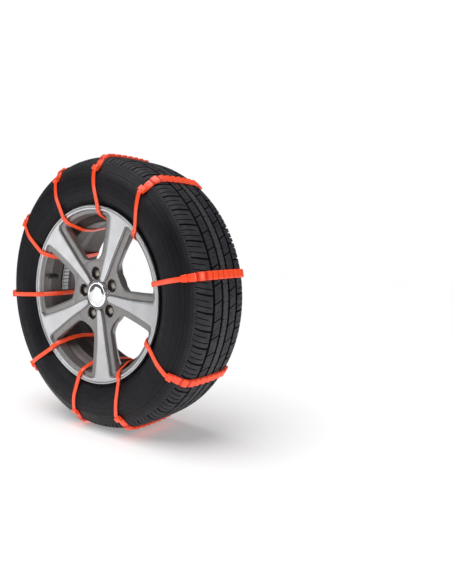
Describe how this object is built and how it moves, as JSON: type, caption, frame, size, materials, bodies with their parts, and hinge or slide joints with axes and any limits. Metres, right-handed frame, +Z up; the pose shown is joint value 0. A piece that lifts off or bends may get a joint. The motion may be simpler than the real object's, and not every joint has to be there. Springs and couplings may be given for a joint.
{
  "type": "anti-skid tie tire",
  "caption": "Passenger-car tyre on a five-spoke alloy wheel, wrapped by cleated nylon anti-skid cable ties for snow traction.",
  "frame": {"origin": "wheel centre: where the axle axis crosses the rim's centre plane", "axes": "+Y along the axle toward the vehicle (the outboard face looks to -Y), +Z up as the wheel stands, +X to the right seen from outboard"},
  "size_m": [0.7318, 0.2336, 0.7324],
  "materials": {
    "tread_rubber": "moulded near-black rubber",
    "sidewall_rubber": "satin near-black rubber with fine rings",
    "ply_rubber": "matt dark rubber over cord",
    "belt_steel": "bright steel cord layer",
    "bead_steel": "bronze-coated steel wire",
    "alloy": "diamond-cut faces over dark grey painted pockets",
    "nut_plating": "domed, warm silver plating",
    "cap_chrome": null,
    "valve_black": "matt black rubber",
    "valve_brass": "plain brass",
    "valve_cap_plastic": "matt black plastic",
    "weight_zinc": "zinc-plated steel blocks on tape",
    "orange_nylon": "bright orange-red moulded nylon, semi-gloss"
  },
  "bodies": {
    "wheel": {"tyre_tread": "tread_rubber", "tyre_carcass": "ply_rubber", "sidewall_outboard": "sidewall_rubber", "sidewall_inboard": "sidewall_rubber", "steel_belt": "belt_steel", "bead_core_outboard": "bead_steel", "bead_core_inboard": "bead_steel", "alloy_wheel": "alloy", "lug_nut_1": "nut_plating", "lug_nut_2": "nut_plating", "lug_nut_3": "nut_plating", "lug_nut_4": "nut_plating", "lug_nut_5": "nut_plating", "valve_rubber": "valve_black", "valve_tube": "valve_brass", "valve_core": "valve_brass", "balance_weights": "weight_zinc", "tie_01": "orange_nylon", "tie_02": "orange_nylon", "tie_03": "orange_nylon", "tie_04": "orange_nylon", "tie_05": "orange_nylon", "tie_06": "orange_nylon", "tie_07": "orange_nylon", "tie_08": "orange_nylon", "tie_09": "orange_nylon", "tie_10": "orange_nylon"},
    "centre_cap": {"centre_cap": "cap_chrome"},
    "valve_cap": {"valve_cap": "valve_cap_plastic"},
    "valve_core_pin": {"valve_core_pin": "belt_steel"},
    "pawl_01": {"tie_01_pawl": "orange_nylon"},
    "pawl_02": {"tie_02_pawl": "orange_nylon"},
    "pawl_03": {"tie_03_pawl": "orange_nylon"},
    "pawl_04": {"tie_04_pawl": "orange_nylon"},
    "pawl_05": {"tie_05_pawl": "orange_nylon"},
    "pawl_06": {"tie_06_pawl": "orange_nylon"},
    "pawl_07": {"tie_07_pawl": "orange_nylon"},
    "pawl_08": {"tie_08_pawl": "orange_nylon"},
    "pawl_09": {"tie_09_pawl": "orange_nylon"},
    "pawl_10": {"tie_10_pawl": "orange_nylon"}
  },
  "joints": [
    {"name": "centre_cap_pull", "type": "slide", "parent": "wheel", "child": "centre_cap", "axis": [0, -1, 0], "range_m": [0, 0.03]},
    {"name": "valve_cap_unscrew", "type": "slide", "parent": "wheel", "child": "valve_cap", "axis": [0.137, -0.9903, -0.0246], "range_m": [0, 0.014]},
    {"name": "valve_pin_press", "type": "slide", "parent": "wheel", "child": "valve_core_pin", "axis": [-0.137, 0.9903, 0.0246], "range_m": [0, 0.0012], "stiffness_N_per_m": 150, "springref_m": -0.0005},
    {"name": "pawl_01_lift", "type": "hinge", "parent": "wheel", "child": "pawl_01", "pos_m": [0.02847, -0.11084, 0.32539], "axis": [0.9962, 0, -0.0872], "range_deg": [0, 10], "stiffness_Nm_per_rad": 0.005},
    {"name": "pawl_02_lift", "type": "hinge", "parent": "wheel", "child": "pawl_02", "pos_m": [0.18875, -0.11084, 0.26658], "axis": [0.8161, 0, -0.5779], "range_deg": [0, 10], "stiffness_Nm_per_rad": 0.005},
    {"name": "pawl_03_lift", "type": "hinge", "parent": "wheel", "child": "pawl_03", "pos_m": [0.3203, -0.11084, 0.064], "axis": [0.1959, 0, -0.9806], "range_deg": [0, 10], "stiffness_Nm_per_rad": 0.005},
    {"name": "pawl_04_lift", "type": "hinge", "parent": "wheel", "child": "pawl_04", "pos_m": [0.2785, -0.11084, -0.17067], "axis": [-0.5225, 0, -0.8526], "range_deg": [0, 10], "stiffness_Nm_per_rad": 0.005},
    {"name": "pawl_05_lift", "type": "hinge", "parent": "wheel", "child": "pawl_05", "pos_m": [0.10903, -0.11084, -0.3079], "axis": [-0.9426, 0, -0.3338], "range_deg": [0, 10], "stiffness_Nm_per_rad": 0.005},
    {"name": "pawl_06_lift", "type": "hinge", "parent": "wheel", "child": "pawl_06", "pos_m": [-0.05784, -0.11084, -0.32147], "axis": [-0.9842, 0, 0.1771], "range_deg": [0, 10], "stiffness_Nm_per_rad": 0.005},
    {"name": "pawl_07_lift", "type": "hinge", "parent": "wheel", "child": "pawl_07", "pos_m": [-0.2435, -0.11084, -0.21771], "axis": [-0.6665, 0, 0.7455], "range_deg": [0, 10], "stiffness_Nm_per_rad": 0.005},
    {"name": "pawl_08_lift", "type": "hinge", "parent": "wheel", "child": "pawl_08", "pos_m": [-0.32602, -0.11084, -0.01994], "axis": [-0.061, 0, 0.9981], "range_deg": [0, 10], "stiffness_Nm_per_rad": 0.005},
    {"name": "pawl_09_lift", "type": "hinge", "parent": "wheel", "child": "pawl_09", "pos_m": [-0.26886, -0.11084, 0.18548], "axis": [0.5678, 0, 0.8231], "range_deg": [0, 10], "stiffness_Nm_per_rad": 0.005},
    {"name": "pawl_10_lift", "type": "hinge", "parent": "wheel", "child": "pawl_10", "pos_m": [-0.12763, -0.11084, 0.30067], "axis": [0.9205, 0, 0.3907], "range_deg": [0, 10], "stiffness_Nm_per_rad": 0.005}
  ]
}
